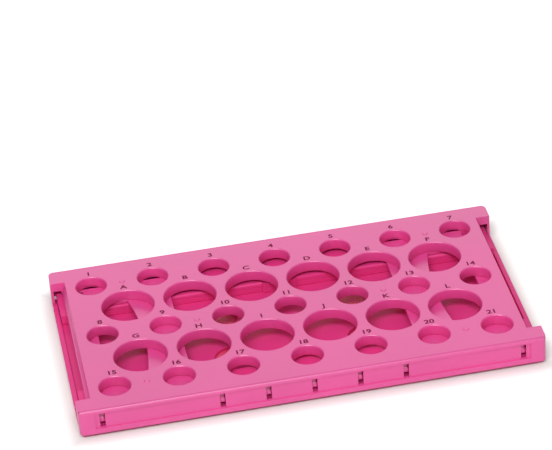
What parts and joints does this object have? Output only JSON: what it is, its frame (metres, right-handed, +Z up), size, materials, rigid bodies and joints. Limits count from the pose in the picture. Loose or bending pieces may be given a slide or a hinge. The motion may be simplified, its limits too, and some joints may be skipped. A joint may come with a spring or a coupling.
{
  "type": "folding centrifuge tube rack",
  "caption": "Fold-flat plastic rack with rows of round holes for conical centrifuge tubes; its long walls fold inward under the top plate.",
  "frame": {"origin": "centre of the folded rack's footprint, on the ground", "axes": "+Z up, +X along the rack to its right end, +Y to the rear, the side of holes 1 to 7"},
  "size_m": [0.262, 0.14, 0.0174],
  "materials": {
    "plate_plastic": "satin moulded plastic",
    "wall_plastic": "satin moulded plastic"
  },
  "bodies": {
    "base": {"base": "wall_plastic"},
    "front_lower": {"front_lower_wall": "wall_plastic"},
    "front_upper": {"front_upper_wall": "wall_plastic"},
    "rear_lower": {"rear_lower_wall": "wall_plastic"},
    "rear_upper": {"rear_upper_wall": "wall_plastic"},
    "top": {"top_plate": "plate_plastic", "left_end_panel": "plate_plastic", "right_end_panel": "plate_plastic"}
  },
  "joints": [
    {"name": "fold", "type": "hinge", "parent": "base", "child": "front_lower", "pos_m": [0, -0.0646, 0.0021], "axis": [1, 0, 0], "range_deg": [0, 90]},
    {"name": "front_mid_hinge", "type": "hinge", "parent": "front_lower", "child": "front_upper", "pos_m": [0, -0.0371, 0.0053], "axis": [1, 0, 0], "range_deg": [-180, 0]},
    {"name": "front_top_hinge", "type": "hinge", "parent": "front_upper", "child": "top", "pos_m": [0, -0.0646, 0.0085], "axis": [1, 0, 0], "range_deg": [0, 90]},
    {"name": "rear_foot_hinge", "type": "hinge", "parent": "base", "child": "rear_lower", "pos_m": [0, 0.0646, 0.0021], "axis": [1, 0, 0], "range_deg": [-90, 0]},
    {"name": "rear_mid_hinge", "type": "hinge", "parent": "rear_lower", "child": "rear_upper", "pos_m": [0, 0.0371, 0.0053], "axis": [1, 0, 0], "range_deg": [0, 180]}
  ],
  "couplings": [
    {"joint": "front_mid_hinge", "follows": "fold", "ratio": -2},
    {"joint": "front_top_hinge", "follows": "fold", "ratio": 1},
    {"joint": "rear_foot_hinge", "follows": "fold", "ratio": -1},
    {"joint": "rear_mid_hinge", "follows": "fold", "ratio": 2}
  ]
}
